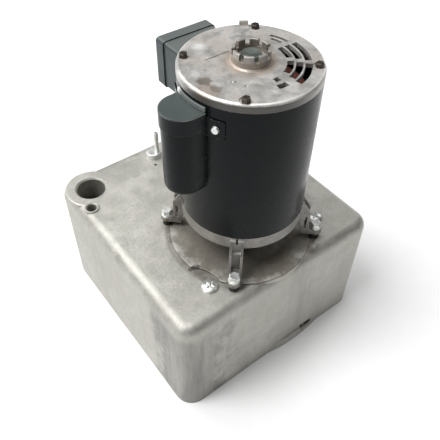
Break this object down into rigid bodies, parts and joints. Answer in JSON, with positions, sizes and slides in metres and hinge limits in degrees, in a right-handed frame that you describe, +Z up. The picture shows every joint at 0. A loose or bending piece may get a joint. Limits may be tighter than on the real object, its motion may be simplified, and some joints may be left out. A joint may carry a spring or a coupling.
{
  "type": "combustion fan",
  "caption": "Cast square volute housing with a vertical capacitor-run motor on legs, a roof pipe port, side discharge and a bottom air inlet.",
  "frame": {"origin": "where the shaft axis meets the housing's mounting plane", "axes": "+Z up along the shaft towards the motor's end bell, -Y towards the wall with the foot lug, +X towards the discharge wall"},
  "size_m": [0.2665, 0.272, 0.3744],
  "materials": {
    "cast_aluminium": "sand-cast, matt, stained",
    "machined_aluminium": "die-cast, satin",
    "dull_aluminium": "die-cast, dull",
    "aged_zinc": "zinc plated, aged grey-green",
    "black_paint": "semi-gloss black paint",
    "worn_black_paint": "black paint, dusty, worn along its rear lip",
    "grey_paint": "dark grey paint",
    "zinc_plate": "zinc plated",
    "galvanised_sheet": "galvanised sheet",
    "impeller_steel": "heat-dulled steel",
    "bright_steel": "ground steel",
    "lamination_steel": "stacked laminations",
    "enamel_wire": "red insulating varnish",
    "black_steel": "black oxide",
    "black_rubber": "matt rubber",
    "fibre_board": "mineral fibre board",
    "graphite": "graphite",
    "phenolic": "moulded phenolic"
  },
  "bodies": {
    "frame": {"base_plate": "zinc_plate", "base_plate_screws": "zinc_plate", "bearing_cap": "aged_zinc", "bottom_end_bell": "dull_aluminium", "capacitor": "machined_aluminium", "capacitor_cover": "black_paint", "capacitor_cover_lid": "worn_black_paint", "capacitor_cover_screws": "zinc_plate", "conduit_bushing": "black_rubber", "foot_bolts": "zinc_plate", "foot_grommets": "black_rubber", "foot_washers": "zinc_plate", "heat_shield": "galvanised_sheet", "housing": "cast_aluminium", "inlet_ring": "machined_aluminium", "inlet_rivets": "zinc_plate", "insulation_disc": "fibre_board", "junction_box": "grey_paint", "junction_box_lid": "grey_paint", "junction_box_screws": "zinc_plate", "lead_grommet": "black_rubber", "lower_bearing_outer": "bright_steel", "motor_shell": "black_paint", "outlet_guide": "galvanised_sheet", "pressure_tap": "zinc_plate", "scroll_sheet": "galvanised_sheet", "seal_plate": "zinc_plate", "seal_screws": "zinc_plate", "shaft_seal": "graphite", "shield_nuts": "zinc_plate", "shield_screws": "zinc_plate", "stator_core": "lamination_steel", "stator_windings": "enamel_wire", "terminal_block": "phenolic", "through_bolts": "black_steel", "top_end_bell": "machined_aluminium", "upper_bearing_outer": "bright_steel", "wave_washer": "zinc_plate"},
    "rotor": {"motor_shaft": "bright_steel", "rotor_core": "lamination_steel", "rotor_end_rings": "machined_aluminium", "upper_bearing_inner": "bright_steel", "upper_bearing_balls": "bright_steel", "lower_bearing_inner": "bright_steel", "lower_bearing_balls": "bright_steel", "shaft_slinger": "machined_aluminium", "impeller_hub": "impeller_steel", "hub_set_screw": "impeller_steel", "impeller_backplate": "impeller_steel", "impeller_shroud": "impeller_steel", "impeller_blades": "impeller_steel", "hub_rivets": "zinc_plate"}
  },
  "joints": [
    {"name": "rotor_spin", "type": "hinge", "parent": "frame", "child": "rotor", "pos_m": [0, 0, 0.2], "axis": [0, 0, 1], "continuous": true}
  ]
}
